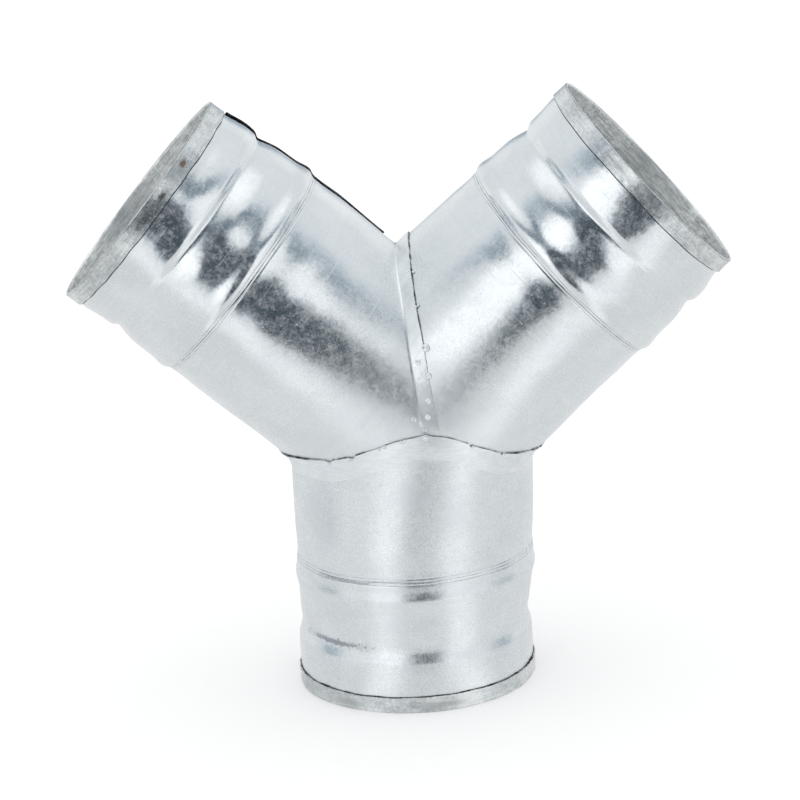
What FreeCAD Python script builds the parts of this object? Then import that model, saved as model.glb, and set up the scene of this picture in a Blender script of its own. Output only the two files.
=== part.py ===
import FreeCAD, Part
import math
import os

# Duct Y branch in galvanised sheet: a trunk and two equal branches, each one rolled sheet.
# Millimetres, +Z up. The origin is the centre of the trunk's mouth, which the part stands on.
# The three tube axes meet on Z, and both branches lie in the XZ plane.

# Driving dimensions of the tubes
duct_diameter = 100.0  # outside of the plain tube
sheet = 0.6
branch_angle = 49.0  # between a branch axis and the trunk axis, in degrees
trunk_length = 124.0  # from the trunk's mouth to the point where the axes meet
branch_length = 141.5  # from a branch's mouth to that point

# Rolled collar at every mouth, with its lengths one after the other along the axis from the mouth
spigot_diameter = 99.6  # outside of the plain end
spigot_length = 20.5
groove_run = 3.5  # shoulder down to the bottom of the groove
groove_depth = 1.65
swell_run = 17.8  # tapered wall from the groove up to the foot of the bead
bead_rise = 3.5
bead_crest = 2.5
bead_fall = 3.5
bead_height = 1.25  # above the plain tube

# Hem: the sheet is folded outwards and pressed flat on itself round every mouth
hem_width = 7.0
hem_slit = 1.6  # where the two ends of the hem stop, at the tube's seam

# Lapped joints: the trunk's edge lies over both branches, the left branch's edge over the right one
lap_width = 6.0
lap_flare = 4.0  # run in which the sheet steps out by its own thickness
lap_clearance = 0.05
corner_gap = 1.0  # from one lapped edge to the end of the next

# Lengthwise seam of every tube: one edge of the sheet lies over the other
seam_width = 8.0
left_seam_turn = 18.5  # from the top of the branch towards the back, in degrees
right_seam_turn = 65.0
seam_end_gap = 1.5  # from the seam's end to the hem, and to the lapped joint

# Sizes that follow
tube_r = duct_diameter / 2
spigot_r = spigot_diameter / 2
hem_r = spigot_r + sheet
lap_r = tube_r + lap_clearance
half_seam = math.degrees(seam_width / 2 / tube_r)
reach = 4 * (trunk_length + branch_length)

UP = FreeCAD.Vector(0, 0, 1)
BACK = FreeCAD.Vector(0, 1, 0)
RIGHT = FreeCAD.Vector(1, 0, 0)
ORIGIN = FreeCAD.Vector(0, 0, 0)
meeting = UP * trunk_length
slant = math.radians(branch_angle)
trunk_way = -UP
left_way = FreeCAD.Vector(-math.sin(slant), 0, math.cos(slant))
right_way = FreeCAD.Vector(math.sin(slant), 0, math.cos(slant))


def wall_line(out, start, end):
    """Corners of the wall's line, moved out by a distance, between two places along the axis."""
    steps = (
        (groove_run, spigot_r - groove_depth),
        (swell_run, tube_r),
        (bead_rise, tube_r + bead_height),
        (bead_crest, tube_r + bead_height),
        (bead_fall, tube_r),
    )
    along = spigot_length
    corners = [FreeCAD.Vector(spigot_r + out, 0, start), FreeCAD.Vector(spigot_r + out, 0, along)]
    for run, radius in steps:
        along += run
        corners.append(FreeCAD.Vector(radius + out, 0, along))
    return corners + [FreeCAD.Vector(tube_r + out, 0, end)]


def turned(corners, angle):
    """Solid turned about Z from the corners of its section."""
    outline = Part.makePolygon(corners + corners[:1])
    return Part.Face(outline).revolve(ORIGIN, UP, angle)


def rolled_tube(length):
    """Tube with its collar and its hem, from its mouth at Z = 0 up to its length."""
    hem = [
        FreeCAD.Vector(hem_r, 0, 0),
        FreeCAD.Vector(hem_r, 0, hem_width),
    ]
    outside = wall_line(0, hem_width, length)
    inside = wall_line(-sheet, 0, length)
    return turned(hem + outside + inside[::-1], 360)


def seam_strip(length):
    """Upper layer of a tube's seam, half a sheet deep in the wall, centred on the +X side."""
    start = hem_width + seam_end_gap
    top = wall_line(sheet, start, length)
    foot = wall_line(-sheet / 2, start, length)
    strip = turned(top + foot[::-1], 2 * half_seam)
    strip.rotate(ORIGIN, UP, -half_seam)
    return strip


def hem_slit_cut():
    """Block that parts the hem's folded layer at the seam, on the +X side."""
    block = Part.makeBox(2 * sheet, hem_slit, hem_width + seam_end_gap)
    block.translate(FreeCAD.Vector(spigot_r, -hem_slit / 2, sheet))
    return block


def beyond(point, way):
    """Half of space on the side of a plane that the way points to."""
    half = Part.makeBox(reach, reach, reach, FreeCAD.Vector(-reach / 2, -reach / 2, 0))
    half.Placement = FreeCAD.Placement(point, FreeCAD.Rotation(UP, way))
    return half


def lap_shell(way):
    """Tube about a branch's axis that a lapped edge is cut from: it lies on the branch's outside."""
    outer = Part.makeCylinder(lap_r + sheet, branch_length, meeting, way)
    inner = Part.makeCylinder(lap_r, branch_length, meeting, way)
    start = Part.makeCylinder(lap_r + sheet, tube_r, meeting, -way)
    start_hole = Part.makeCylinder(lap_r, tube_r, meeting, -way)
    return outer.cut(inner).fuse(start.cut(start_hole))


def half_ring(centre, way, apex, inner_r, outer_r):
    """Outline of half of a slanted cut through a tube wall, on the side that the apex points to."""

    def half_ellipse(radius):
        long_r = radius / apex.cross(way).Length
        ellipse = Part.Ellipse(centre + apex * long_r, centre + BACK * radius, centre)
        return Part.ArcOfEllipse(ellipse, -math.pi / 2, math.pi / 2).toShape()

    ends = [
        Part.LineSegment(centre + side * inner_r, centre + side * outer_r).toShape()
        for side in (BACK, -BACK)
    ]
    return Part.Wire(Part.__sortEdges__([half_ellipse(inner_r), half_ellipse(outer_r)] + ends))


def flare(way, apex):
    """Half of a tube's end that steps out by a sheet, up to the joint's plane at the meeting point."""
    plain = half_ring(meeting + way * lap_flare, way, apex, tube_r - sheet, tube_r)
    stepped = half_ring(meeting, way, apex, lap_r, lap_r + sheet)
    return Part.makeLoft([plain, stepped], True, True)


def trunk_collar():
    """Trunk tube, with an edge that is flared and lies over the ends of both branches."""
    tube = rolled_tube(trunk_length)
    seam = seam_strip(trunk_length - lap_flare - seam_end_gap)
    tube = tube.cut(hem_slit_cut()).fuse(seam)
    tube.rotate(ORIGIN, UP, 90)
    flared = []
    for way in (left_way, right_way):
        over = way - trunk_way
        side = RIGHT * math.copysign(1, way.x)
        apex = (way + trunk_way).normalize()
        tube = tube.cut(beyond(meeting + trunk_way * lap_flare, over))
        edge = lap_shell(way).common(beyond(meeting, over)).common(beyond(meeting, side))
        edge = edge.cut(beyond(meeting + way * lap_width, over))
        flared += [flare(trunk_way, apex), edge]
    return tube.multiFuse(flared).removeSplitter()


def branch_tube(way, seam_angle, seam_reach):
    """Branch tube along its way, mitred against the trunk and the other branch."""
    side = RIGHT * math.copysign(1, way.x)
    seam = seam_strip(branch_length)
    tube = rolled_tube(branch_length).cut(hem_slit_cut())
    placing = FreeCAD.Placement(meeting + way * branch_length, FreeCAD.Rotation(UP, -way))
    for piece in (tube, seam):
        piece.rotate(ORIGIN, UP, seam_angle)
        piece.Placement = placing.multiply(piece.Placement)
    seam = seam.common(beyond(meeting + way * seam_reach, side))
    tube = tube.common(beyond(meeting, way - trunk_way)).common(beyond(meeting, side))
    return tube.fuse(seam)


def left_branch():
    """Left branch, with an edge over the crotch that lies on the right branch."""
    tube = branch_tube(left_way, 180 - left_seam_turn, lap_flare + seam_end_gap)
    clear_of_trunk = lap_width + corner_gap
    above_left = beyond(meeting + left_way * clear_of_trunk, left_way - trunk_way)
    above_right = beyond(meeting + right_way * clear_of_trunk, right_way - trunk_way)
    crotch = beyond(meeting + left_way * lap_flare, RIGHT).common(above_left)
    step = flare(left_way, UP).common(above_left)
    edge = lap_shell(right_way).common(beyond(meeting, RIGHT)).common(above_right)
    edge = edge.cut(beyond(meeting + right_way * lap_width, RIGHT))
    return tube.cut(crotch).multiFuse([step, edge]).removeSplitter()


def right_branch():
    """Right branch, plain where the left branch's edge lies on it."""
    return branch_tube(right_way, right_seam_turn, lap_width + seam_end_gap).removeSplitter()


os.makedirs("parts", exist_ok=True)
for node, shape in (
    ("trunk_collar", trunk_collar()),
    ("left_branch", left_branch()),
    ("right_branch", right_branch()),
):
    shape.exportStep("parts/" + node + ".step")
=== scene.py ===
import bpy
import math
import numpy as np
from mathutils import Matrix


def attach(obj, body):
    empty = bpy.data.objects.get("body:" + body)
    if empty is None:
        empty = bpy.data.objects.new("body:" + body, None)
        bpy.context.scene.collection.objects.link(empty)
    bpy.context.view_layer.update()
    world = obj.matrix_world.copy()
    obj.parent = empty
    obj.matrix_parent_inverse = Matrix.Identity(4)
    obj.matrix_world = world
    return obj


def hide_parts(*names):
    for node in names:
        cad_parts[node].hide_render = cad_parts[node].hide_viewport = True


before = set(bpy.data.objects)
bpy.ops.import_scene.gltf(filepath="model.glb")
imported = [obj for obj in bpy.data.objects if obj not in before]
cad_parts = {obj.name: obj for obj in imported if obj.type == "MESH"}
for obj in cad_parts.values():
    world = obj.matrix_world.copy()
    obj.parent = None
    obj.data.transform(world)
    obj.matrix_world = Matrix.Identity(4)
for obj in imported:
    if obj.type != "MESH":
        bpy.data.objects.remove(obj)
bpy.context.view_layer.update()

# Duct Y branch in galvanised sheet: a trunk and two equal branches, each one rolled sheet.
# Lengths are in millimetres up to the point where a mesh is made. The front is at -Y.
MM = 0.001
FULL_TURN = 2 * math.pi

# Driving sizes of the tubes
SHEET = 0.6
TUBE_R = 50.0
WALL_R = TUBE_R - SHEET / 2  # middle of the plain wall
TRUNK_LENGTH = 124.0  # mouth to the point where the three axes meet
BRANCH_LENGTH = 141.5
SLANT = math.radians(49.0)  # branch axis to trunk axis
AROUND = 288  # steps round a tube

FRONT = np.array([0.0, -1.0, 0.0])
UP = np.array([0.0, 0.0, 1.0])
RIGHT = np.array([1.0, 0.0, 0.0])
MEETING = UP * TRUNK_LENGTH
LEFT_WAY = np.array([-math.sin(SLANT), 0.0, math.cos(SLANT)])
RIGHT_WAY = np.array([math.sin(SLANT), 0.0, math.cos(SLANT)])
LEFT_TOP = np.array([math.cos(SLANT), 0.0, math.sin(SLANT)])
RIGHT_TOP = np.array([-math.cos(SLANT), 0.0, math.sin(SLANT)])

# Numbers of the tubes, and of the finishes of a sheet's faces in the order of a piece's materials
ON_TRUNK, ON_LEFT, ON_RIGHT = range(3)
OUTSIDE, HEM, INSIDE, RAW, CREVICE_SHADE_AND_DIRT, DARKER_GROOVE, BEATEN = range(7)

# Hem: the sheet folded outwards and pressed flat on itself round every mouth
HEM_WIDTH = 7.0
HEM_OPEN = 0.12  # between the folded edge and the tube
HEM_PRESSED = 0.03  # how far its flat lies below the top of its fold
HEM_WANDER = 0.20  # of its raw edge
HEM_LIFT = 0.06  # least lift of that edge off the tube
HEM_LIFT_WANDER = 0.12
HEM_RIPPLE = 0.05
HEM_ROWS = 9
FOLD_ROWS = 9
FOLD_TURN = 75.0  # degrees that the rows of the fold cover to each side of its nose
UNDER_HEM = (1.2, 3.5)  # rows of the wall that the hem covers
UNDER_HEM_LAST = 0.7  # from one more such row to the raw edge
CREVICE_DEPTH = 0.05  # of the strip beside the raw edge, which shows as a dark line of painted shade and dirt
CREVICE_START = 0.05  # from the raw edge
TRUNK_CREVICE = 0.22  # width of the line
BRANCH_CREVICE = 0.5
PAST_HEM = 1.0  # from the raw edge to the first clean row

# Collars, rolled by hand, each a smooth line through its points: distance from the mouth, radius beyond the
# plain tube. The trunk's groove is wider and its bead has a longer back.
PLAIN_END = [
    (0.0, -0.30), (7.5, -0.29), (9.5, -0.25), (12.0, -0.17), (14.5, -0.13), (17.0, -0.15), (19.0, -0.20),
    (20.5, -0.27),
]
BRANCH_COLLAR = np.array(PLAIN_END + [
    (22.0, -0.40), (23.0, -0.76), (23.8, -1.28), (24.5, -1.70), (25.2, -1.86), (26.2, -1.72), (28.0, -1.26),
    (30.0, -0.78), (32.0, -0.37), (34.0, -0.06), (36.0, 0.07), (38.0, 0.13), (40.0, 0.17), (42.0, 0.21),
    (43.5, 0.27), (45.0, 0.43), (46.5, 0.71), (48.0, 1.00), (49.2, 1.12), (50.2, 1.08), (51.2, 0.76),
    (52.2, 0.26), (53.2, -0.06), (55.0, -0.23), (57.0, -0.33), (59.0, -0.31), (61.0, -0.23), (64.0, -0.07),
    (67.0, 0.02), (70.0, 0.02), (76.0, 0.0),
])
TRUNK_COLLAR = np.array(PLAIN_END + [
    (22.0, -0.42), (23.2, -0.80), (24.3, -1.25), (25.5, -1.58), (27.0, -1.76), (28.5, -1.80), (30.0, -1.70),
    (32.0, -1.40), (34.0, -1.08), (36.0, -0.82), (38.0, -0.62), (40.0, -0.45), (42.0, -0.26), (44.0, 0.0),
    (46.0, 0.36), (47.5, 0.72), (48.8, 1.02), (49.8, 1.12), (50.6, 1.06), (51.6, 0.82), (52.6, 0.58),
    (53.6, 0.42), (55.0, 0.30), (56.4, 0.18), (57.5, 0.02), (58.6, -0.12), (60.0, -0.22), (62.0, -0.28),
    (65.0, -0.20), (69.0, -0.05), (73.0, 0.02), (76.0, 0.0),
])
COLLAR_END = 72.0
# Rows along a collar past the hem, closer together where it bends: from, to, count
BRANCH_RUNS = (
    (9.2, 20.0, 11), (20.5, 28.0, 20), (28.8, 42.0, 16), (42.5, 50.4, 18), (50.7, 54.9, 22),
    (55.6, COLLAR_END, 12),
)
TRUNK_RUNS = (
    (9.2, 20.0, 9), (20.5, 29.0, 18), (30.0, 46.0, 14), (46.8, 56.2, 22), (56.4, 60.4, 22),
    (61.2, COLLAR_END, 10),
)
# Fine grooves left by the rolling wheels at the inner foot of the bead
BRANCH_LINES = (51.9, 53.0, 54.1)
TRUNK_LINES = (57.0, 58.3, 59.6)
LINE_DEPTH = 0.12
LINE_HALF = 0.30
DARKER_LINE_HALF = 0.15  # half width of the darker line in them

# Slight dents of the rolled wall, in waves round the tube that twist along it
DENT = 0.10
DENT_WAVES = (2, 3, 4, 5, 7)
DENT_TWIST = (45, 110)
DENTS_BEGIN = (9, 16)  # from the mouth: the hem and the end beside it are true
DENTS_END = (0.6, 1.0)  # as shares of the plain wall: its end is true again, to fit the joint

# Laps: the trunk's edge lies on both branches, the left branch's edge on the right one
LAP_WIDTH = 6.0
LAP_FLARE = 4.0
LAP_GAP = 0.05
LAP_R = TUBE_R + LAP_GAP + SHEET / 2  # middle of the lapped sheet
LAP_BEND = 3.0  # how much of the trunk's edge its bend takes up
LAP_WANDER = 0.18  # of the cut edges
LAP_LIFT = 0.03  # least lift of a lapped edge
TRUNK_LIFT_WANDER = 0.07
TRUNK_LIFTS = (2.0, 6.0)  # distances from the corner between which the edge comes off the sheet below
TRUNK_TURNS = (0.0, 14.0)  # distances from the middle in which the edge turns from upwards to a branch's way
JOINT_BLEND = (-1.5, 1.5)  # distances past the joint's plane in which it changes from trunk to branch
SNIPS = (-33.0, -44.5, 22.0, 40.5, 128.0, 149.0, 203.0, 236.0)  # cuts in the trunk's edge, in degrees
SNIP_DEPTH = 1.5
SNIP_HALF = 0.9  # in degrees
# The trunk's edge lies below the true joint at the front and back, and further still in their middle. Each
# dip ends between two sines of the angle from there.
WIDE_DIP = 4.8
WIDE_DIP_SINES = (0.62, 1.0)
MIDDLE_DIP = 2.6
MIDDLE_DIP_SINES = (0.0, 0.25)
UNDER_TRUNK = 0.8  # how far past the trunk's dip a branch reaches
UNDER_TRUNK_SINES = (0.0, 0.06)
RIGHT_SHORT = 0.2  # how far a branch's end stops short of the joint's planes
LEFT_SHORT = 0.4

# The crotch's lap, by heights above the point where the axes meet
CROTCH_LAP = 7.0
CROTCH_LOWEST = 0.5
CREASE_R = 1.2  # of the bend along the crotch
CREASE_TAPER = 6.0  # height below which the crease's shift grows no more
CREASE_MADE_GOOD = 0.78  # the lap is wider by the crease's shift, divided by this
CROTCH_SUNK = 0.42  # how much closer its foot lies to the right branch
CROTCH_RISES = (6, 34)
CROTCH_TURNS = 16.0  # height in which the lap's foot turns along the trunk's joint
CROTCH_FOOT = 0.9  # how much of its width the foot keeps
CROTCH_LIFT = 0.20  # more lift of the cut edge, which begins between two heights
CROTCH_LIFT_BEGINS = (18, 34)
CROTCH_LIFT_EASES = (52, 64)  # heights between which it loses a share again
CROTCH_LIFT_LOSS = 0.6
CROTCH_EDGE_LIFTS = (2.0, 7.0)  # distances from the crease between which the edge lifts
UNLAPPED_END = 0.2  # length that the lap's rows take up where there is no lap

# How the hand-joined form departs from the true one: the front joint leans to the right
LEAN = 8.5
LEAN_ABOVE = 66  # heights above and below the meeting point at which the lean ends
LEAN_BELOW = 62
LEAN_FRONT = (4, 34)  # distances in front of the axes between which it comes in
LEAN_ASIDE = (4, 70)  # distances to either side between which it goes out
# Tubes out of round: way from the meeting point, side, movement, where it fades in and out along the way
OUT_OF_ROUND = (
    (RIGHT_WAY, -RIGHT_TOP, 2.6, (-5, 35), (122, 134)),
    (RIGHT_WAY, RIGHT_TOP, -0.7, (40, 80), (124, 134)),
    (LEFT_WAY, LEFT_TOP, 1.3, (45, 80), (122, 134)),
    (LEFT_WAY, -LEFT_TOP, -0.9, (10, 50), (124, 134)),
    (-UP, RIGHT, 2.1, (-10, 20), (50, 105)),
    (-UP, -RIGHT, 1.5, (75, 100), (200, 210)),
)

# Lengthwise seams, each an upper layer with one edge that stands off
SEAM_WIDTH = 8.0
SEAM_COLUMNS = 9
SEAM_ROWS = 16  # past the collar
SEAM_START = 8.3  # from the mouth, just past the hem
SEAM_SUNK = 0.2  # how far the layer is let into the wall, so that no gap shows under it
SEAM_SPRINGS = (8, 26)  # from the mouth: the stretch in which a sprung edge comes down
# Angle of the middle in degrees, end from the mouth, how far the edge stands off, how far it has sprung up
TRUNK_SEAM = (180.0, 117.5, 0.1, 0.1)
LEFT_SEAM = (108.5, 92.0, 0.55, 0.5)
RIGHT_SEAM = (155.0, 112.0, 0.1, 0.1)

# Spot pressed into a lap: share of its radius and height, ring by ring from its foot to its dimple
SPOT_RINGS = np.array([(1.0, -0.15), (0.97, 0.12), (0.84, 0.42), (0.62, 0.54), (0.38, 0.32), (0.20, 0.20)])
SPOT_R = 1.4  # radius for which the heights hold
SPOT_STEPS = 16

SHARP_EDGE = math.radians(50)


# Lines

def slopes(x, y):
    """Slopes of a smooth line through points, as a natural bend of the sheet takes them."""
    step, rise = np.diff(x), np.diff(y)
    chord = rise / step
    slope = np.zeros_like(y)
    slope[1:-1] = (chord[:-1] * step[1:] + chord[1:] * step[:-1]) / (step[:-1] + step[1:])
    slope[0], slope[-1] = chord[0], chord[-1]
    return slope


def smooth_line(x, y, at):
    """Value of the smooth line through points at the places asked for."""
    slope = slopes(x, y)
    i = np.clip(np.searchsorted(x, at) - 1, 0, len(x) - 2)
    step = x[i + 1] - x[i]
    t = (at - x[i]) / step
    h1, h2 = t * t * (3 - 2 * t), t * (1 - t) ** 2
    return y[i] * (1 - h1) + y[i + 1] * h1 + step * (slope[i] * h2 - slope[i + 1] * t * t * (1 - t))


def fade(x, low, high):
    """0 below low, 1 above high, smooth between."""
    t = np.clip((x - low) / (high - low), 0, 1)
    return t * t * (3 - 2 * t)


def wander(angle, size, waves, seed):
    """Slow uneven wandering round a tube, the same each run."""
    draw = np.random.default_rng(seed)
    total = np.zeros_like(angle)
    for wave in waves:
        total += draw.normal() / len(waves) ** 0.5 * np.sin(wave * angle + draw.uniform(0, FULL_TURN))
    return size * total


def dents(angle, along, seed):
    """Slight unevenness of the rolled wall, so that reflections waver as on real sheet."""
    draw = np.random.default_rng(seed)
    total = np.zeros_like(angle)
    for wave in DENT_WAVES:
        length = draw.uniform(*DENT_TWIST)
        phase = draw.uniform(0, FULL_TURN)
        total += draw.normal() * DENT / wave * np.sin(wave * angle + phase + along * FULL_TURN / length)
    return np.clip(total, -DENT, DENT)


# Sheets

class Tube:
    """One rolled tube: its number, the seed of its unevenness, its mouth, the way into it, the side that
    angle 90 degrees points to, and how its collar is rolled."""

    def __init__(self, number, seed, mouth, inward, top, collar, lines, runs, crevice):
        self.number, self.seed = number, seed
        self.mouth, self.inward, self.top = mouth, inward, top
        self.collar, self.lines, self.crevice = collar, np.array(lines), crevice
        self.stations = np.concatenate([np.linspace(*run) for run in runs])
        self.angle = np.arange(AROUND) * FULL_TURN / AROUND
        self.hand = 1.0 if np.cross(top, inward) @ FRONT > 0 else -1.0

    def wall(self, along):
        """Radius of the middle of the wall at places along the tube."""
        along = np.asarray(along, float)
        within = np.minimum(along, self.collar[-1, 0])
        radius = WALL_R + smooth_line(self.collar[:, 0], self.collar[:, 1], within)
        for line in self.lines:
            radius = radius - LINE_DEPTH * np.exp(-((along - line) / LINE_HALF) ** 2)
        return radius

    def out(self, angle):
        """Directions straight out of the tube at angles from its front towards its top."""
        return np.cos(angle)[..., None] * FRONT + np.sin(angle)[..., None] * self.top

    def point(self, along, radius, angle=None):
        """Points round the tube at a distance from the mouth and a radius, one for each angle."""
        angle = self.angle if angle is None else angle
        along = np.broadcast_to(along, angle.shape)
        radius = np.broadcast_to(radius, angle.shape)
        return self.mouth + along[..., None] * self.inward + radius[..., None] * self.out(angle)


class Sheet:
    """Rows of points on the middle of a sheet, with the finish of each side up to each row."""

    def __init__(self):
        self.rows, self.outer, self.inner = [], [], []

    def add(self, rows, outer, inner):
        self.rows += rows
        self.outer += [outer] * len(rows)
        self.inner += [inner] * len(rows)


def start_sheet(tube):
    """Sheet of a tube from the hem's raw edge round its fold and along the collar."""
    sheet = Sheet()
    edge = HEM_WIDTH + wander(tube.angle, HEM_WANDER, (3, 5, 9, 14, 23), tube.seed)
    lift = HEM_LIFT + np.abs(wander(tube.angle, HEM_LIFT_WANDER, (4, 7, 11), tube.seed + 1))
    spigot = float(tube.wall(0.0))
    fold = (SHEET + HEM_OPEN) / 2
    flat = spigot + 2 * fold - HEM_PRESSED
    hem, bend = [], []
    for t in np.linspace(1, 0, HEM_ROWS):
        ripple = wander(tube.angle, HEM_RIPPLE, (6, 11, 17, 29), tube.seed + 2) * t * (1 - t) * 4
        hem.append(tube.point(fold + (edge - fold) * t, flat + lift * t ** 3 + ripple))
    for turn in np.radians(np.linspace(FOLD_TURN, -FOLD_TURN, FOLD_ROWS)):
        along = SHEET / 2 + fold * (1 - math.cos(turn))
        bend.append(tube.point(along, spigot + fold * (1 + math.sin(turn))))
    # The hem's underside and the inside of its fold take painted shade and dirt
    sheet.add(hem + bend, CREVICE_SHADE_AND_DIRT, HEM)
    # The wall under the hem, and a sunk strip just past its raw edge, take painted shade and dirt: a dark
    # line
    under = [tube.point(along, spigot) for along in (*UNDER_HEM, edge - UNDER_HEM_LAST)]
    sunk = spigot - CREVICE_DEPTH
    crevice = [tube.point(edge + CREVICE_START, sunk), tube.point(edge + tube.crevice, sunk)]
    sheet.add(under + crevice, CREVICE_SHADE_AND_DIRT, INSIDE)
    sheet.add([tube.point(edge + PAST_HEM, spigot)], OUTSIDE, INSIDE)
    for along in tube.stations:
        uneven = dents(tube.angle, along, tube.seed + 3) * fade(along, *DENTS_BEGIN)
        # Rows in a wheel's groove are drawn darker
        drawn_darker = np.abs(tube.lines - along).min() < DARKER_LINE_HALF
        row = tube.point(along, tube.wall(along) + uneven)
        sheet.add([row], DARKER_GROOVE if drawn_darker else OUTSIDE, INSIDE)
    return sheet


def add_body(sheet, tube, end, steps):
    """Plain wall from the collar to a line round the tube, given as distances from the mouth."""
    for t in np.linspace(0, 1, steps + 1)[1:]:
        along = COLLAR_END + (end - COLLAR_END) * t
        uneven = dents(tube.angle, along, tube.seed + 3) * (1 - fade(t, *DENTS_END))
        sheet.add([tube.point(along, WALL_R + uneven)], OUTSIDE, INSIDE)


def on_axis(points, way, radius):
    """Points moved straight out or in to a radius about an axis through the meeting point."""
    from_meeting = points - MEETING
    along = from_meeting @ way
    foot = MEETING + along[:, None] * way
    out = points - foot
    out /= np.linalg.norm(out, axis=1)[:, None]
    return foot + out * np.broadcast_to(radius, along.shape)[:, None]


def bend_rows(a, corner, b, steps):
    """Rows of a rounded bend from one row to another, with the corner row between them."""
    shares = np.linspace(0, 1, steps + 1)[1:]
    return [(1 - t) ** 2 * a + 2 * t * (1 - t) * corner + t * t * b for t in shares]


def front_dip(sine):
    """How far below the true joint the trunk's lapped edge lies, at the front and back."""
    wide = WIDE_DIP * (1 - fade(np.abs(sine), *WIDE_DIP_SINES))
    return wide + MIDDLE_DIP * (1 - fade(np.abs(sine), *MIDDLE_DIP_SINES))


def trunk_sheet(tube):
    """Whole sheet of the trunk, from the hem's raw edge to the lapped edge."""
    sheet = start_sheet(tube)
    sine = np.sin(tube.angle)
    dip = front_dip(sine)
    drop = math.tan(SLANT / 2) * np.abs(sine)
    add_body(sheet, tube, TRUNK_LENGTH - drop * TUBE_R - LAP_FLARE - dip, steps=14)
    start = sheet.rows[-1]
    corner = tube.point(TRUNK_LENGTH - drop * LAP_R - dip, LAP_R)
    to_left = sine[:, None] < 0
    ways = np.where(to_left, LEFT_WAY, RIGHT_WAY)
    over = fade(np.abs(corner[:, 0]), *TRUNK_TURNS)[:, None]
    heading = ways * over + UP * (1 - over)
    width = LAP_WIDTH + wander(tube.angle, LAP_WANDER, (3, 7, 12, 19, 31), tube.seed + 3)
    for snip in SNIPS:
        away = (tube.angle - math.radians(snip) + math.pi) % FULL_TURN - math.pi
        width -= SNIP_DEPTH * np.exp(-(np.degrees(away) / SNIP_HALF) ** 2)
    lift = LAP_LIFT + np.abs(wander(tube.angle, TRUNK_LIFT_WANDER, (5, 8, 13), tube.seed + 4))

    def lapped(reach):
        """Row of the lapped edge at a distance from its corner: up the dip, and then along a branch."""
        reach = np.broadcast_to(reach, sine.shape)
        rise = np.minimum(reach, dip)[:, None]
        points = corner + UP * rise + heading * np.maximum(reach - dip, 0)[:, None]
        radius = LAP_R + lift * fade(reach, *TRUNK_LIFTS)
        on_left = on_axis(points, LEFT_WAY, radius)
        on_right = on_axis(points, RIGHT_WAY, radius)
        past = np.sum((points - MEETING) * (ways + UP), axis=1) / (2 * math.cos(SLANT / 2))
        share = fade(past, *JOINT_BLEND)[:, None]
        return on_axis(points, UP, radius) * (1 - share) + np.where(to_left, on_left, on_right) * share

    sheet.add(bend_rows(start, corner, lapped(LAP_BEND), 8), BEATEN, INSIDE)
    edge = [lapped(LAP_BEND + (width - LAP_BEND) * t) for t in np.linspace(0, 1, 6)[1:]]
    # The lapped edge's underside takes painted shade and dirt
    sheet.add(edge, BEATEN, CREVICE_SHADE_AND_DIRT)
    return sheet


def branch_end(tube, radius):
    """Distance from the mouth to the joint's planes, for each angle round a branch."""
    sine = np.sin(tube.angle)
    upper = sine / math.tan(SLANT)
    lower = -sine * math.tan(SLANT / 2)
    under_trunk = (front_dip(sine) + UNDER_TRUNK) * fade(-sine, *UNDER_TRUNK_SINES)
    return BRANCH_LENGTH - radius * np.maximum(upper, lower) + under_trunk


def right_sheet(tube):
    """Whole sheet of the right branch: plain to its end under the two laps."""
    sheet = start_sheet(tube)
    add_body(sheet, tube, branch_end(tube, TUBE_R) - RIGHT_SHORT, steps=26)
    return sheet


def left_sheet(tube):
    """Whole sheet of the left branch, with the lapped edge over the crotch."""
    sheet = start_sheet(tube)
    sine = np.sin(tube.angle)
    above = tube.point(branch_end(tube, WALL_R), WALL_R)[:, 2] - TRUNK_LENGTH
    lapping = (sine > 0) & (above > CROTCH_LOWEST)
    lap_r = LAP_R - CROTCH_SUNK * (1 - fade(above, *CROTCH_RISES))
    short = (lap_r ** 2 - WALL_R ** 2) / (2 * math.sin(2 * SLANT) * np.maximum(above, CREASE_TAPER))
    crease = branch_end(tube, WALL_R) - short / math.sin(SLANT)
    body_end = np.where(lapping, crease - CREASE_R, branch_end(tube, TUBE_R) - LEFT_SHORT)
    add_body(sheet, tube, body_end, steps=20)
    start = sheet.rows[-1]
    corner = tube.point(crease, WALL_R)
    level = fade(above, CROTCH_LOWEST, CROTCH_LOWEST + CROTCH_TURNS)[:, None]
    along_trunk = np.array([math.cos(SLANT / 2), 0.0, -math.sin(SLANT / 2)])
    heading = RIGHT_WAY * level + along_trunk * (1 - level) * CROTCH_FOOT
    width = CROTCH_LAP + short / CREASE_MADE_GOOD
    width = width + wander(tube.angle, LAP_WANDER, (5, 9, 17, 29), tube.seed + 3)
    eased = 1 - CROTCH_LIFT_LOSS * fade(above, *CROTCH_LIFT_EASES)
    lift = LAP_LIFT + CROTCH_LIFT * fade(above, *CROTCH_LIFT_BEGINS) * eased

    def lapped(reach):
        """Row of the lapped edge at a distance from the crease, on the right branch."""
        reach = np.broadcast_to(reach, sine.shape)
        points = corner + heading * reach[:, None]
        return on_axis(points, RIGHT_WAY, lap_r + lift * fade(reach, *CROTCH_EDGE_LIFTS))

    turned = bend_rows(start, corner, lapped(CREASE_R), 6)
    edge = [lapped(CREASE_R + (width - CREASE_R) * t) for t in np.linspace(0, 1, 9)[1:]]
    count = len(turned) + len(edge)
    for i, row in enumerate(turned + edge):
        plain = tube.point(body_end + UNLAPPED_END * (i + 1) / count, WALL_R)
        row[~lapping] = plain[~lapping]
    sheet.add(turned, OUTSIDE, INSIDE)
    # The lapped edge's underside takes painted shade and dirt
    sheet.add(edge, BEATEN, CREVICE_SHADE_AND_DIRT)
    return sheet


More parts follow.
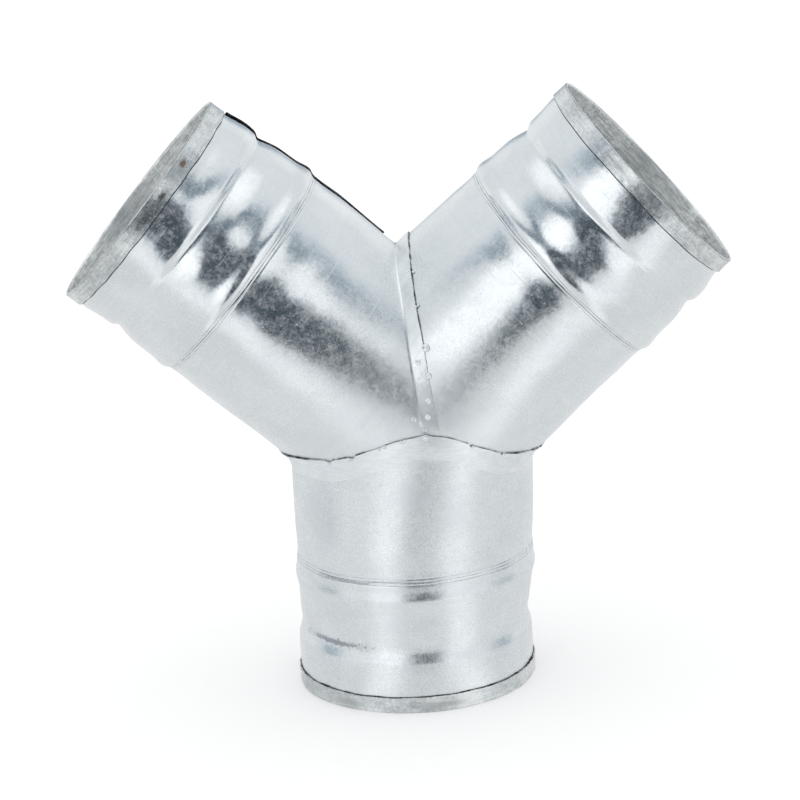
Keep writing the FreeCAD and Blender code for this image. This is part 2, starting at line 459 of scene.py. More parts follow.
def settled(points):
    """Points of the true form, moved as the hand-joined form lies: its front joint leans to the right
    towards the trunk, and its tubes are slightly out of round."""
    above = points[..., 2] - TRUNK_LENGTH
    lean = np.where(above > 0, 1 - np.clip(above / LEAN_ABOVE, 0, 1), 1 - fade(-above, 0, LEAN_BELOW))
    lean = LEAN * lean * fade(-points[..., 1], *LEAN_FRONT) * (1 - fade(np.abs(points[..., 0]), *LEAN_ASIDE))
    moved = points + lean[..., None] * RIGHT
    for way, side, amount, enter, leave in OUT_OF_ROUND:
        along = (points - MEETING) @ way
        share = fade((points - MEETING) @ side, 0, TUBE_R) * fade(along, *enter) * (1 - fade(along, *leave))
        moved = moved + (amount * share)[..., None] * side
    return moved


# Sheets into meshes

class Faces:
    """Corners, quads, finishes and places on the sheet that a piece's mesh is made from."""

    def __init__(self):
        self.points, self.quads, self.finish, self.places = [], [], [], []
        self.count = 0

    def add(self, points, quads, finish, places):
        self.points.append(points.reshape(-1, 3))
        self.quads.append(quads.reshape(-1, 4) + self.count)
        self.finish.append(finish.reshape(-1))
        self.places.append(places.reshape(-1, 2))
        self.count += points.size // 3


def grid_normals(grid, wraps):
    """Direction out of the sheet at each point of its grid of rows."""
    along = np.gradient(grid, axis=0)
    around = np.roll(grid, -1, axis=1) - np.roll(grid, 1, axis=1) if wraps else np.gradient(grid, axis=1)
    normal = np.cross(around, along)
    length = np.linalg.norm(normal, axis=2, keepdims=True)
    return normal / np.maximum(length, 1e-9)


def place_on(tube, points, arc):
    """Place on the flat sheet of each point: round the tube and along it, each tube a metre from the next."""
    along = (points - tube.mouth) @ tube.inward
    return np.stack(np.broadcast_arrays(arc * MM + tube.number, along * MM), axis=-1)


def add_tube(faces, tube, sheet):
    """Closed skin of a tube's sheet: both sides and the raw edges."""
    true = np.array(sheet.rows)
    grid = settled(true)
    normal = grid_normals(grid, True) * tube.hand * SHEET / 2
    points = np.concatenate([grid + normal, (grid - normal)[::-1]])
    count = len(sheet.rows)
    index = np.arange(2 * count * AROUND).reshape(2 * count, AROUND)
    above = np.roll(index, -1, axis=0)
    quads = np.stack([index, np.roll(index, -1, axis=1), np.roll(above, -1, axis=1), above], axis=-1)
    finish = np.array(sheet.outer[1:] + [RAW] + sheet.inner[:0:-1] + [RAW])
    here = place_on(tube, np.concatenate([true, true[::-1]]), tube.angle * TUBE_R)
    beside = np.roll(here, -1, axis=1)
    beside[..., 0] = here[..., 0] + FULL_TURN / AROUND * TUBE_R * MM
    places = np.stack([here, beside, np.roll(beside, -1, axis=0), np.roll(here, -1, axis=0)], axis=2)
    if tube.hand < 0:
        quads, places = quads[..., ::-1], places[..., ::-1, :]
    faces.add(points, quads, np.repeat(finish[:, None], AROUND, axis=1), places)


def add_seam(faces, tube, middle, end, stands, springs):
    """Upper layer of a tube's lengthwise seam: a strip that follows the collar and lies on the tube."""
    half = SEAM_WIDTH / 2 / TUBE_R
    angle = math.radians(middle) + np.linspace(-half, half, SEAM_COLUMNS)
    body = np.linspace(COLLAR_END, end, SEAM_ROWS)[1:]
    rows = []
    for along in np.concatenate([[SEAM_START], tube.stations, body]):
        lift = stands + springs * (1 - fade(along, *SEAM_SPRINGS))
        radius = tube.wall(along) + SHEET - SEAM_SUNK + lift * np.linspace(1, 0, SEAM_COLUMNS) ** 2
        rows.append(tube.point(along, radius, angle))
    true = np.array(rows)
    grid = settled(true)
    normal = grid_normals(grid, False) * tube.hand * SHEET / 2
    ring = np.concatenate([grid + normal, (grid - normal)[:, ::-1]], axis=1)
    around = ring.shape[1]
    index = np.arange(ring.shape[0] * around).reshape(ring.shape[0], around)
    beside = np.roll(index, -1, axis=1)
    sides = np.stack([index[:-1], beside[:-1], beside[1:], index[1:]], axis=-1)
    flip = index[:, ::-1]
    caps = []
    for row, back in ((index[0], flip[0]), (flip[-1], index[-1])):
        near, far = row[:SEAM_COLUMNS], back[:SEAM_COLUMNS]
        caps.append(np.stack([near[1:], near[:-1], far[:-1], far[1:]], axis=-1))
    caps = np.concatenate(caps)
    finish = np.full(sides.shape[:2], OUTSIDE)
    # The strip's underside and both long edges take painted shade and dirt
    finish[:, SEAM_COLUMNS - 1:] = CREVICE_SHADE_AND_DIRT
    finish = np.concatenate([finish.reshape(-1), np.full(len(caps), RAW)])
    arc = np.concatenate([angle, angle[::-1]]) * TUBE_R
    here = place_on(tube, np.concatenate([true, true[:, ::-1]], axis=1), arc)
    next_to = np.roll(here, -1, axis=1)
    side_places = np.stack([here[:-1], next_to[:-1], next_to[1:], here[1:]], axis=2)
    quads = np.concatenate([sides.reshape(-1, 4), caps])
    places = np.concatenate([side_places.reshape(-1, 4, 2), np.tile(here[0, 0], (len(caps), 4, 1))])
    if tube.hand < 0:
        quads, places = quads[:, ::-1], places[:, ::-1]
    faces.add(ring, quads, finish, places)


def add_spot(faces, tube, along, angle, lies_at, radius):
    """Pressed spot of a lap: a low dome with a dimple, closed below."""
    turn = np.arange(SPOT_STEPS) * FULL_TURN / SPOT_STEPS
    share = SPOT_RINGS[:, :1] * radius
    height = SPOT_RINGS[:, 1:] * (radius / SPOT_R) ** 0.5
    angle = math.radians(angle) - tube.hand * share * np.sin(turn) / lies_at
    true = tube.point(along + share * np.cos(turn), lies_at + height, angle)
    index = np.arange(share.size * SPOT_STEPS).reshape(share.size, SPOT_STEPS)
    beside = np.roll(index, -1, axis=1)
    quads = [np.stack([index[:-1], beside[:-1], beside[1:], index[1:]], axis=-1).reshape(-1, 4)]
    half = SPOT_STEPS // 2
    for ring in (index[-1], index[0][::-1]):
        near, far = ring[:half], ring[::-1][:half]
        quads.append(np.stack([near[:-1], near[1:], far[1:], far[:-1]], axis=-1))
    quads = np.concatenate(quads)
    places = place_on(tube, true, angle * TUBE_R).reshape(-1, 2)[quads]
    faces.add(settled(true), quads, np.full(len(quads), BEATEN), places)


def add_piece(name, faces, node):
    """Blender object of a piece, on the one body, standing for its CAD node."""
    mesh = bpy.data.meshes.new(name)
    points = np.concatenate(faces.points) * MM
    mesh.from_pydata(points.tolist(), [], np.concatenate(faces.quads).tolist())
    mesh.polygons.foreach_set("use_smooth", [True] * len(mesh.polygons))
    mesh.polygons.foreach_set("material_index", np.concatenate(faces.finish).astype(np.int32))
    places = mesh.uv_layers.new(name="place_on_sheet")
    places.data.foreach_set("uv", np.concatenate(faces.places).astype(np.float32).reshape(-1))
    mesh.update()
    mesh.set_sharp_from_angle(angle=SHARP_EDGE)
    piece = bpy.data.objects.new(name, mesh)
    bpy.context.scene.collection.objects.link(piece)
    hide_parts(node)
    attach(piece, "root")
    return piece


# Pieces

branch_rolling = BRANCH_COLLAR, BRANCH_LINES, BRANCH_RUNS, BRANCH_CREVICE
left_mouth = MEETING + LEFT_WAY * BRANCH_LENGTH
right_mouth = MEETING + RIGHT_WAY * BRANCH_LENGTH
trunk = Tube(ON_TRUNK, 11, np.zeros(3), UP, RIGHT, TRUNK_COLLAR, TRUNK_LINES, TRUNK_RUNS, TRUNK_CREVICE)
left = Tube(ON_LEFT, 31, left_mouth, -LEFT_WAY, LEFT_TOP, *branch_rolling)
right = Tube(ON_RIGHT, 21, right_mouth, -RIGHT_WAY, RIGHT_TOP, *branch_rolling)

# Spots pressed into the laps: tube, distance from its mouth, angle, distance from its axis, radius
TRUNK_SPOTS = (
    (trunk, 121.0, -0.4, 50.65, 1.1), (trunk, 120.9, -2.4, 50.65, 0.7), (trunk, 120.0, -9.8, 50.70, 0.9),
    (trunk, 119.6, -11.4, 50.70, 0.8), (trunk, 117.3, -18.5, 50.80, 0.9), (trunk, 116.2, -21.0, 50.80, 0.8),
    (trunk, 110.6, -34.0, 50.70, 0.8), (trunk, 107.4, -45.5, 50.70, 0.7), (trunk, 115.2, 23.2, 50.80, 0.8),
    (trunk, 109.4, 41.6, 50.90, 0.7),
)
CROTCH_SPOTS = (
    (right, 97.8, 59.7, 50.70, 0.7), (right, 96.4, 57.6, 50.40, 0.6), (right, 105.4, 42.4, 50.75, 0.7),
    (right, 104.2, 42.2, 50.40, 0.6), (right, 114.5, 25.6, 50.40, 1.75), (right, 121.2, 23.5, 50.50, 1.3),
    (right, 122.5, 16.0, 50.35, 1.3), (right, 130.7, 8.5, 50.20, 1.35), (right, 136.2, 3.7, 50.20, 1.3),
    (left, 135.1, 1.5, 50.00, 1.4), (left, 140.8, 0.0, 50.00, 1.4),
)
pieces = []
for name, tube, sheet, node, seam, spots in (
    ("trunk_sheet", trunk, trunk_sheet(trunk), "trunk_collar", TRUNK_SEAM, TRUNK_SPOTS),
    ("left_branch_sheet", left, left_sheet(left), "left_branch", LEFT_SEAM, CROTCH_SPOTS),
    ("right_branch_sheet", right, right_sheet(right), "right_branch", RIGHT_SEAM, ()),
):
    faces = Faces()
    add_tube(faces, tube, sheet)
    add_seam(faces, tube, *seam)
    for on, along, angle, lies_at, radius in spots:
        for front_or_back in (angle, 180.0 - angle):
            add_spot(faces, on, along, front_or_back, lies_at, radius)
    pieces.append(add_piece(name, faces, node))


# Materials

# Sockets and outputs of a Mix node, which has a pair for each kind of value
SHARE, NUMBER_A, NUMBER_B, COLOUR_A, COLOUR_B = 0, 2, 3, 6, 7
MIXED_NUMBER, MIXED_COLOUR = 0, 2

# Noise patterns of zinc: size in millimetres, detail, roughness of the noise
GRAIN = (1.3, 5.0, 0.65)  # fine unevenness of the coating
CLOUD = (18.0, 4.0, 0.6)  # slow change of tone and gloss over the sheet
HAZE = (0.9, 3.0, 0.7)  # frosting of the crystals
OXIDE = (5.0, 7.0, 0.85)  # thin white bloom
# The crystals of a fine spangle, the specks and the scratches are too fine to show, so they are drawn coarser
# than they are: about three times, four times and ten times
CRYSTAL = 1.5
SPECK_SPACING = 4.5
SPECK_EDGE = (0.085, 0.05)  # its outside and its full middle, as shares of the spacing
SCRATCH_SPACING = 0.9
WORN_ROUGHNESS = 0.38  # of specks and scratches
GRAIN_DEPTH = 0.6  # of the relief, times the tilt of the crystals
# Handling dulls the sheet from the collars to the joints, and the whole trunk
RUBBED_FROM = 72.0
RUBBED_TO = 128.0
TRUNK_DULLNESS = 0.12
TRUNK_EDGE = (0.6, 0.5)  # between the trunk and the next tube on the flat sheets, in metres

STEEL_PATCH = 5.0
STEEL_RELIEF = 0.03

# Marks on the sheet: tube, angle, distance from the mouth, half length round, half width, colour, strength
WHEEL_MARKS = (
    (ON_TRUNK, -45.0, 28.0, 21.0, 1.7, "#595F70", 0.62),
    (ON_TRUNK, -36.0, 57.6, 17.0, 1.0, "#6C7284", 0.50),
    (ON_TRUNK, -12.0, 58.4, 14.0, 0.9, "#7C8190", 0.36),
)
HEM_MARKS = (
    (ON_LEFT, 39.0, 3.2, 3.2, 1.9, "#6A4F30", 0.80),
    (ON_LEFT, 20.0, 4.0, 3.0, 1.6, "#35332F", 0.75),
    (ON_LEFT, 6.0, 3.6, 6.0, 1.6, "#66645F", 0.50),
    (ON_RIGHT, 24.0, 3.4, 7.0, 1.4, "#6E6C68", 0.45),
    (ON_TRUNK, 14.0, 3.4, 12.0, 1.7, "#74726D", 0.26),
    (ON_TRUNK, -36.0, 3.0, 8.0, 1.5, "#66645F", 0.28),
)
# Painted dark reflection on the foot of the crotch's lap, carrying on the dark streak that the left branch
# mirrors
LAP_PAINTED_REFLECTION = (
    (ON_LEFT, 12.0, 140.0, 24.0, 18.0, "#A2A8AC", 0.40),
)


def colour(text):
    """Linear colour of an sRGB hex value."""
    parts = [int(text[i:i + 2], 16) / 255 for i in (1, 3, 5)]
    return tuple(c / 12.92 if c <= 0.04045 else ((c + 0.055) / 1.055) ** 2.4 for c in parts) + (1.0,)


def add(tree, kind, settings=None, links=None):
    """Adds a node, with its settings by name and its sockets by number or name."""
    node = tree.nodes.new(kind)
    for name, value in (settings or {}).items():
        setattr(node, name, value)
    for socket, value in (links or {}).items():
        if isinstance(value, bpy.types.NodeSocket):
            tree.links.new(value, node.inputs[socket])
        else:
            node.inputs[socket].default_value = value
    return node


def new_material(name):
    """Material with an empty node tree."""
    material = bpy.data.materials.new(name)
    material.use_nodes = True
    material.node_tree.nodes.clear()
    return material, material.node_tree


def per_metre(size):
    """Texture scale for a feature of a real size in millimetres, on coordinates in metres."""
    return 1.0 / (size * MM)


def stains_and_painted_reflection(tree, place, grain, paint, marks):
    """Lays the marks over a colour, with edges broken up by the grain: stains, and on the crotch's lap a
    painted dark reflection.
    """
    for number, angle, along, half_round, half_wide, tint, strength in marks:
        arc = (math.radians(angle) % FULL_TURN) * TUBE_R
        centre = (number + arc * MM, along * MM, 0.0)
        away = add(tree, "ShaderNodeVectorMath", {"operation": "SUBTRACT"}, {0: place, 1: centre}).outputs[0]
        scaled = add(tree, "ShaderNodeVectorMath", {"operation": "MULTIPLY"},
                     {0: away, 1: (per_metre(half_round), per_metre(half_wide), 0.0)}).outputs[0]
        reach = add(tree, "ShaderNodeVectorMath", {"operation": "LENGTH"}, {0: scaled}).outputs["Value"]
        ragged = add(tree, "ShaderNodeMath", {"operation": "MULTIPLY_ADD"},
                     {0: grain, 1: -3.2, 2: 2.6}).outputs[0]
        ragged = add(tree, "ShaderNodeMath", {"operation": "MULTIPLY"}, {0: reach, 1: ragged}).outputs[0]
        share = add(tree, "ShaderNodeMapRange", {"interpolation_type": "SMOOTHSTEP"},
                    {"Value": ragged, "From Min": 1.0, "From Max": 0.35,
                     "To Max": strength}).outputs["Result"]
        paint = add(tree, "ShaderNodeMix", {"data_type": "RGBA"},
                    {SHARE: share, COLOUR_A: paint, COLOUR_B: colour(tint)}).outputs[MIXED_COLOUR]
    return paint


def wear(tree, here, place, streak):
    """Noise drawn out round the tube, and the scratches and specks where the zinc is worn."""
    specks = add(tree, "ShaderNodeTexVoronoi", {"feature": "F1"},
                 {"Vector": here, "Scale": per_metre(SPECK_SPACING), "Randomness": 1.0}).outputs["Distance"]
    outside, middle = SPECK_EDGE
    speck = add(tree, "ShaderNodeMapRange", {},
                {"Value": specks, "From Min": outside, "From Max": middle}).outputs["Result"]
    drawn_out = add(tree, "ShaderNodeVectorMath", {"operation": "MULTIPLY"},
                    {0: place, 1: (per_metre(streak), per_metre(SCRATCH_SPACING), 1.0)}).outputs[0]
    lines = add(tree, "ShaderNodeTexNoise", {"noise_dimensions": "2D"},
                {"Vector": drawn_out, "Scale": 1.0, "Detail": 1.0, "Roughness": 0.5}).outputs["Fac"]
    scratch = add(tree, "ShaderNodeMapRange", {},
                  {"Value": lines, "From Min": 0.76, "From Max": 0.82}).outputs["Result"]
    worn = add(tree, "ShaderNodeMath", {"operation": "MAXIMUM"}, {0: speck, 1: scratch}).outputs[0]
    return lines, worn


def dulled(tree, place, rubbing):
    """Roughness that handling adds, by the place on the sheet."""
    parts = add(tree, "ShaderNodeSeparateXYZ", {}, {0: place}).outputs
    rubbed = add(tree, "ShaderNodeMapRange", {},
                 {"Value": parts["Y"], "From Min": RUBBED_FROM * MM, "From Max": RUBBED_TO * MM,
                  "To Max": rubbing}).outputs["Result"]
    beyond, within = TRUNK_EDGE
    on_trunk = add(tree, "ShaderNodeMapRange", {},
                   {"Value": parts["X"], "From Min": beyond, "From Max": within,
                    "To Max": TRUNK_DULLNESS}).outputs["Result"]
    return add(tree, "ShaderNodeMath", {"operation": "MAXIMUM"}, {0: rubbed, 1: on_trunk}).outputs[0]


def tilted(tree, here, grain, tilt):
    """Direction of the surface, with each crystal tilted a little and the grain raised."""
    crystals = add(tree, "ShaderNodeTexVoronoi", {"feature": "F1"},
                   {"Vector": here, "Scale": per_metre(CRYSTAL), "Randomness": 1.0}).outputs["Color"]
    face = add(tree, "ShaderNodeNewGeometry").outputs["Normal"]
    lean = add(tree, "ShaderNodeVectorMath", {"operation": "MULTIPLY_ADD"},
               {0: crystals, 1: (tilt, tilt, tilt), 2: (-tilt / 2, -tilt / 2, -tilt / 2)}).outputs[0]
    face = add(tree, "ShaderNodeVectorMath", {"operation": "ADD"}, {0: face, 1: lean}).outputs[0]
    face = add(tree, "ShaderNodeVectorMath", {"operation": "NORMALIZE"}, {0: face}).outputs[0]
    return add(tree, "ShaderNodeBump", {},
               {"Strength": 1.0, "Distance": tilt * GRAIN_DEPTH * MM, "Height": grain,
                "Normal": face}).outputs["Normal"]


def zinc(name, light, dark, smooth, rough, frost, metal, bloom, tilt, streak, streaked, rubbing, marks):
    """Hot-dip galvanised steel. The zinc sets in small flat crystals, each tilted a little, so the eye sees
    a pale cool grey whose reflections have frosted, ragged edges. Air leaves a thin white bloom of oxide, and
    rolling and handling leave fine scratches round the tube and pin-prick specks: all of these show pale
    where the reflection is dark. Roughness lies between smooth and rough, and frost and rubbing add to it;
    metal is the metallic share, and bloom is what the oxide takes off; streak is a scratch's length."""
    material, tree = new_material(name)
    here = add(tree, "ShaderNodeTexCoord").outputs["Object"]
    place = add(tree, "ShaderNodeUVMap", {"uv_map": "place_on_sheet"}).outputs["UV"]
    grain, cloud, haze, oxide = [
        add(tree, "ShaderNodeTexNoise", {"noise_dimensions": "3D"},
            {"Vector": here, "Scale": per_metre(size), "Detail": detail, "Roughness": harsh}).outputs["Fac"]
        for size, detail, harsh in (GRAIN, CLOUD, HAZE, OXIDE)
    ]
    lines, worn = wear(tree, here, place, streak)
    tone = add(tree, "ShaderNodeMix", {"data_type": "FLOAT"},
               {SHARE: 0.55, NUMBER_A: grain, NUMBER_B: cloud}).outputs[MIXED_NUMBER]
    tone = add(tree, "ShaderNodeMix", {"data_type": "FLOAT"},
               {SHARE: streaked, NUMBER_A: tone, NUMBER_B: lines}).outputs[MIXED_NUMBER]
    tone = add(tree, "ShaderNodeMapRange", {"interpolation_type": "SMOOTHSTEP"},
               {"Value": tone, "From Min": 0.35, "From Max": 0.65}).outputs["Result"]
    paint = add(tree, "ShaderNodeMix", {"data_type": "RGBA"},
                {SHARE: tone, COLOUR_A: colour(dark), COLOUR_B: colour(light)}).outputs[MIXED_COLOUR]
    paint = stains_and_painted_reflection(tree, place, grain, paint, marks)
    gloss = add(tree, "ShaderNodeMapRange", {},
                {"Value": cloud, "From Min": 0.3, "From Max": 0.7,
                 "To Min": rough, "To Max": smooth}).outputs["Result"]
    frosted = add(tree, "ShaderNodeMapRange", {},
                  {"Value": haze, "From Min": 0.42, "From Max": 0.72, "To Max": frost}).outputs["Result"]
    for more in (frosted, dulled(tree, place, rubbing)):
        gloss = add(tree, "ShaderNodeMath", {"operation": "ADD"}, {0: gloss, 1: more}).outputs[0]
    gloss = add(tree, "ShaderNodeMix", {"data_type": "FLOAT"},
                {SHARE: worn, NUMBER_A: gloss, NUMBER_B: WORN_ROUGHNESS}).outputs[MIXED_NUMBER]
    bare = add(tree, "ShaderNodeMapRange", {},
               {"Value": oxide, "From Min": 0.46, "From Max": 0.63,
                "To Min": metal, "To Max": metal - bloom}).outputs["Result"]
    shader = add(tree, "ShaderNodeBsdfPrincipled", {},
                 {"Base Color": paint, "Metallic": bare, "Roughness": gloss,
                  "Normal": tilted(tree, here, grain, tilt)})
    add(tree, "ShaderNodeOutputMaterial", {}, {"Surface": shader.outputs[0]})
    return material


def steel(name, light, dark):
    """Bare steel that was sheared, pinched or rolled and has dulled, so the eye sees a thin line with lighter
    and darker stretches at random. On a raw edge the darker stretches are painted shade, in a crevice painted
    shade and dirt, and in a wheel's groove they only draw the line darker."""
    material, tree = new_material(name)
    here = add(tree, "ShaderNodeTexCoord").outputs["Object"]
    patches = add(tree, "ShaderNodeTexNoise", {"noise_dimensions": "3D"},
                  {"Vector": here, "Scale": per_metre(STEEL_PATCH), "Detail": 4.0,
                   "Roughness": 0.6}).outputs["Fac"]
    tone = add(tree, "ShaderNodeMapRange", {},
               {"Value": patches, "From Min": 0.40, "From Max": 0.62}).outputs["Result"]
    paint = add(tree, "ShaderNodeMix", {"data_type": "RGBA"},
                {SHARE: tone, COLOUR_A: colour(dark), COLOUR_B: colour(light)}).outputs[MIXED_COLOUR]
    relief = add(tree, "ShaderNodeBump", {},
                 {"Strength": 0.5, "Distance": STEEL_RELIEF * MM, "Height": patches}).outputs["Normal"]
    shader = add(tree, "ShaderNodeBsdfPrincipled", {},
                 {"Base Color": paint, "Metallic": 0.8, "Roughness": 0.45, "Normal": relief})
    add(tree, "ShaderNodeOutputMaterial", {}, {"Surface": shader.outputs[0]})
    return material


# In the order of the numbers of the finishes
finishes = (
    # Rolled sheet as it was dipped: bright zinc, a clear but frosted mirror, with bluish smears of the wheels
    zinc("galvanised_zinc", "#DFE4E7", "#D5DBDE", smooth=0.11, rough=0.17, frost=0.11, metal=1.0, bloom=0.38,
         tilt=0.022, streak=34.0, streaked=0.14, rubbing=0.20, marks=WHEEL_MARKS),
    # Hem, folded over and hammered flat: its zinc is crazed and scuffed, so it is greyer and mirrors little
    zinc("folded_zinc", "#E2E6E7", "#ACB2B4", smooth=0.18, rough=0.30, frost=0.12, metal=1.0, bloom=0.30,
         tilt=0.05, streak=9.0, streaked=0.15, rubbing=0.0, marks=HEM_MARKS),
    # Inside, never wiped: zinc under a film of oxide and dust, so it is matt and cloudy
    zinc("dulled_zinc_inside", "#F6F8F8", "#BCC1C2", smooth=0.28, rough=0.42, frost=0.10, metal=0.7,
         bloom=0.10, tilt=0.10, streak=7.0, streaked=0.35, rubbing=0.20, marks=()),
    # Edge cut with shears: bright where it is clean, and dark in random stretches of painted shade along the
    # edge
    steel("sheared_steel_edge_with_painted_shade", "#E4E7E8", "#2E3134"),
    # Sheet under a fold or a lap and beside a raw edge: dirt drawn in and painted shade, a dark line
    steel("crevice_painted_shade_and_dirt", "#5C6062", "#1C1E20"),
    # Fine groove of a rolling wheel, drawn darker: a grey line
    steel("drawn_darker_steel_groove", "#C2C7CA", "#666C70"),
    # Lap and pressed spot, beaten down with a mallet: burnished zinc with a soft, pale shine, and a painted
    # dark reflection on the foot of the crotch's lap
    zinc("beaten_zinc", "#EAEFF1", "#DCE1E4", smooth=0.20, rough=0.30, frost=0.10, metal=1.0, bloom=0.15,
         tilt=0.03, streak=6.0, streaked=0.3, rubbing=0.12, marks=LAP_PAINTED_REFLECTION),
)
for piece in pieces:
    for finish in finishes:
        piece.data.materials.append(finish)


# Studio: white cloth all round with tall soft lights and dark openings, far from the object

CLOTH = 0.94
DARK_TINT = (0.68, 0.95, 1.20, 1.0)  # of dark openings, which are cooler than the cloth
WHITE = colour("#FFFFFF")
CORNERS = 3.0  # power that rounds the corners of a patch: 2 makes it an ellipse
# Turn from the front towards the right, height, half width, half height in degrees, softness, brightness
STUDIO = [
    (-27, -6, 15, 40, 0.40, 1.12),
    (-27, 13, 15, 18, 0.35, 1.46),
    (44, 2, 20, 42, 0.45, 1.24),
    (0, 78, 180, 22, 0.30, 1.32),
    (5, 39, 66, 7.5, 0.35, 0.26),
    (6.8, 4, 15.7, 33, 0.16, 0.085),
]
for turn in (90, 180, 270):
    STUDIO += [
        (turn - 32, 10, 13, 14, 0.4, 1.04),
        (turn + 32, 10, 13, 14, 0.4, 1.0),
        (turn, 8, 12, 11, 0.4, 0.45),
    ]

FLOOR_REACH = 6.0  # the stage's sizes are in metres
FLOOR_LIFT = 0.14  # more light to the camera
TABLE_HALF = 0.9
TABLE_FRONT = 0.5
TABLE_BACK = 0.9
TABLE_IOR = 1.36
# Pools of light painted on the table as a glow, where lamps would fall: turn from the front, half width in
# degrees
PAINTED_LIGHT_POOLS = ((-25, 9), (37, 11))
POOL_LIGHT = 0.27
POOL_EDGE = (1.7, 0.3)  # its outside and its full middle, as shares of the half width


def turn_and_height(tree, heading):
    """Turn of a place or direction from the front towards the right, in degrees, and its height."""
    parts = add(tree, "ShaderNodeSeparateXYZ", {}, {0: heading}).outputs
    ahead = add(tree, "ShaderNodeMath", {"operation": "MULTIPLY"}, {0: parts["Y"], 1: -1.0}).outputs[0]
    turned = add(tree, "ShaderNodeMath", {"operation": "ARCTAN2"}, {0: parts["X"], 1: ahead}).outputs[0]
    turned = add(tree, "ShaderNodeMath", {"operation": "DEGREES"}, {0: turned}).outputs[0]
    return turned, parts["Z"]


def studio_patch(tree, turned, raised, light, turn, height, half_wide, half_high, soft, level):
    """Blends a patch with rounded corners and another brightness into the studio."""
    away = add(tree, "ShaderNodeMath", {"operation": "SUBTRACT"}, {0: turned, 1: turn}).outputs[0]
    away = add(tree, "ShaderNodeMath", {"operation": "WRAP"}, {0: away, 1: 180.0, 2: -180.0}).outputs[0]
    up = add(tree, "ShaderNodeMath", {"operation": "SUBTRACT"}, {0: raised, 1: height}).outputs[0]
    total = 0.0
    for distance, half in ((away, half_wide), (up, half_high)):
        part = add(tree, "ShaderNodeMath", {"operation": "DIVIDE"}, {0: distance, 1: half}).outputs[0]
        part = add(tree, "ShaderNodeMath", {"operation": "ABSOLUTE"}, {0: part}).outputs[0]
        part = add(tree, "ShaderNodeMath", {"operation": "POWER"}, {0: part, 1: CORNERS}).outputs[0]
        total = add(tree, "ShaderNodeMath", {"operation": "ADD"}, {0: total, 1: part}).outputs[0]
    reach = add(tree, "ShaderNodeMath", {"operation": "POWER"}, {0: total, 1: 1 / CORNERS}).outputs[0]
    mask = add(tree, "ShaderNodeMapRange", {"interpolation_type": "SMOOTHSTEP"},
               {"Value": reach, "From Min": 1 + soft, "From Max": 1 - soft}).outputs["Result"]
    return add(tree, "ShaderNodeMix", {"data_type": "FLOAT"},
               {SHARE: mask, NUMBER_A: light, NUMBER_B: level}).outputs[MIXED_NUMBER]


def add_world():
    """Plain white light on everything, with the studio painted in for what the metal mirrors."""
    world = bpy.data.worlds.new("white_studio")
    world.use_nodes = True
    world.cycles.sampling_method = "NONE"
    tree = world.node_tree
    tree.nodes.clear()
    turned, height = turn_and_height(tree, add(tree, "ShaderNodeTexCoord").outputs["Generated"])
    raised = add(tree, "ShaderNodeMath", {"operation": "ARCSINE"}, {0: height}).outputs[0]
    raised = add(tree, "ShaderNodeMath", {"operation": "DEGREES"}, {0: raised}).outputs[0]
    light = CLOTH
    for patch in STUDIO:
        light = studio_patch(tree, turned, raised, light, *patch)
    path = add(tree, "ShaderNodeLightPath").outputs
    mirrored = add(tree, "ShaderNodeMath", {"operation": "MAXIMUM"},
                   {0: path["Is Glossy Ray"], 1: path["Is Transmission Ray"]}).outputs[0]
    strength = add(tree, "ShaderNodeMix", {"data_type": "FLOAT"},
                   {SHARE: mirrored, NUMBER_A: 1.0, NUMBER_B: light}).outputs[MIXED_NUMBER]
    cool = add(tree, "ShaderNodeMix", {"data_type": "RGBA"},
               {SHARE: strength, COLOUR_A: DARK_TINT, COLOUR_B: WHITE}).outputs[MIXED_COLOUR]
    shine = add(tree, "ShaderNodeBackground", {}, {"Color": cool, "Strength": strength})
    add(tree, "ShaderNodeOutputWorld", {}, {"Surface": shine.outputs[0]})
    bpy.context.scene.world = world


def add_ground(name, material, half, front, back):
    """Flat part of the stage under the object."""
    mesh = bpy.data.meshes.new(name)
    corners = [(-half, -front, 0), (half, -front, 0), (half, back, 0), (-half, back, 0)]
    mesh.from_pydata(corners, [], [(0, 1, 2, 3)])
    mesh.materials.append(material)
    ground = bpy.data.objects.new(name, mesh)
    bpy.context.scene.collection.objects.link(ground)
    return ground


def add_floor():
    """Plain white floor of painted board: matt, so it keeps the shadow, and a little brighter to the camera,
    so it meets the white."""
    material, tree = new_material("white_floor")
    seen = add(tree, "ShaderNodeLightPath").outputs["Is Camera Ray"]
    lift = add(tree, "ShaderNodeMath", {"operation": "MULTIPLY"}, {0: seen, 1: FLOOR_LIFT}).outputs[0]
    matt = add(tree, "ShaderNodeBsdfDiffuse", {}, {"Color": colour("#F9F9F9")})
    glow = add(tree, "ShaderNodeEmission", {}, {"Strength": lift})
    both = add(tree, "ShaderNodeAddShader", {}, {0: matt.outputs[0], 1: glow.outputs[0]})
    add(tree, "ShaderNodeOutputMaterial", {}, {"Surface": both.outputs[0]})
    floor = add_ground("floor", material, FLOOR_REACH, FLOOR_REACH, FLOOR_REACH)
    floor.visible_glossy = False


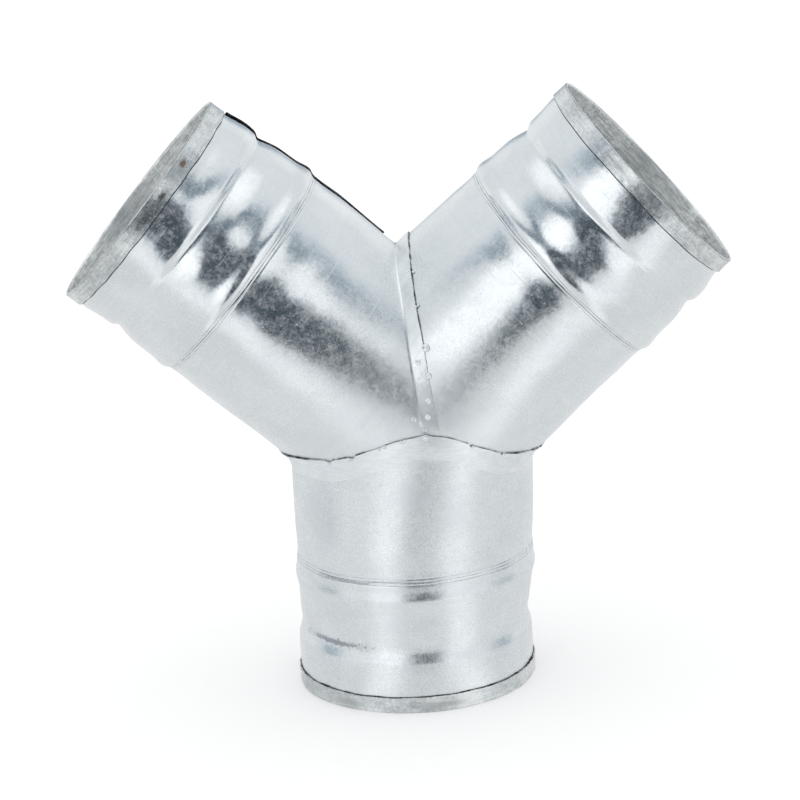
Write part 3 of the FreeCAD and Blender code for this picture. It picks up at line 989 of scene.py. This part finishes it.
def add_table():
    """White lacquered table that the object stands on, as its surfaces mirror it: the front edge is near, so
    the trunk mirrors only the table, and the branches see past it. Two pools of painted light glow on it."""
    material, tree = new_material("white_table")
    turned = turn_and_height(tree, add(tree, "ShaderNodeTexCoord").outputs["Object"])[0]
    outside, middle = POOL_EDGE
    glow = 0.0
    # Each pool is painted light: a glow in a wedge of the table
    for turn, half in PAINTED_LIGHT_POOLS:
        away = add(tree, "ShaderNodeMath", {"operation": "SUBTRACT"}, {0: turned, 1: turn}).outputs[0]
        away = add(tree, "ShaderNodeMath", {"operation": "ABSOLUTE"}, {0: away}).outputs[0]
        pool = add(tree, "ShaderNodeMapRange", {"interpolation_type": "SMOOTHSTEP"},
                   {"Value": away, "From Min": outside * half, "From Max": middle * half,
                    "To Max": POOL_LIGHT}).outputs["Result"]
        glow = add(tree, "ShaderNodeMath", {"operation": "ADD"}, {0: glow, 1: pool}).outputs[0]
    shader = add(tree, "ShaderNodeBsdfPrincipled", {},
                 {"Base Color": colour("#F7F7F7"), "Roughness": 0.25, "IOR": TABLE_IOR,
                  "Emission Color": WHITE, "Emission Strength": glow})
    add(tree, "ShaderNodeOutputMaterial", {}, {"Surface": shader.outputs[0]})
    table = add_ground("table", material, TABLE_HALF, TABLE_FRONT, TABLE_BACK)
    table.visible_camera = False
    table.visible_diffuse = False
    table.visible_shadow = False


add_floor()
add_table()
add_world()


# Camera, aimed at the meeting point

VIEW_TURN = math.radians(-0.908)
VIEW_HEIGHT = math.radians(16.45)
VIEW_ROLL = math.radians(-3.195)
VIEW_DISTANCE = 1332.5
VIEW_ASIDE = (-2.08, -0.985)  # to the right and upwards
VIEW_LENS = 140.9
VIEW_SENSOR = 36.0


def add_camera():
    """Camera at its distance and height in front of the object, rolled a little."""
    back = np.array([
        -math.sin(VIEW_TURN) * math.cos(VIEW_HEIGHT),
        -math.cos(VIEW_TURN) * math.cos(VIEW_HEIGHT),
        math.sin(VIEW_HEIGHT),
    ])
    level = np.array([math.cos(VIEW_TURN), -math.sin(VIEW_TURN), 0.0])
    upright = np.cross(back, level)
    across = math.cos(VIEW_ROLL) * level + math.sin(VIEW_ROLL) * upright
    upward = -math.sin(VIEW_ROLL) * level + math.cos(VIEW_ROLL) * upright
    place = MEETING + back * VIEW_DISTANCE + across * VIEW_ASIDE[0] + upward * VIEW_ASIDE[1]
    data = bpy.data.cameras.new("camera")
    data.sensor_width = VIEW_SENSOR
    data.lens = VIEW_LENS
    camera = bpy.data.objects.new("camera", data)
    matrix = np.eye(4)
    matrix[:3] = np.stack([across, upward, back, place * MM], axis=1)
    camera.matrix_world = Matrix(matrix.tolist())
    bpy.context.scene.collection.objects.link(camera)
    bpy.context.scene.camera = camera


add_camera()

bpy.context.scene.view_settings.view_transform = "Standard"
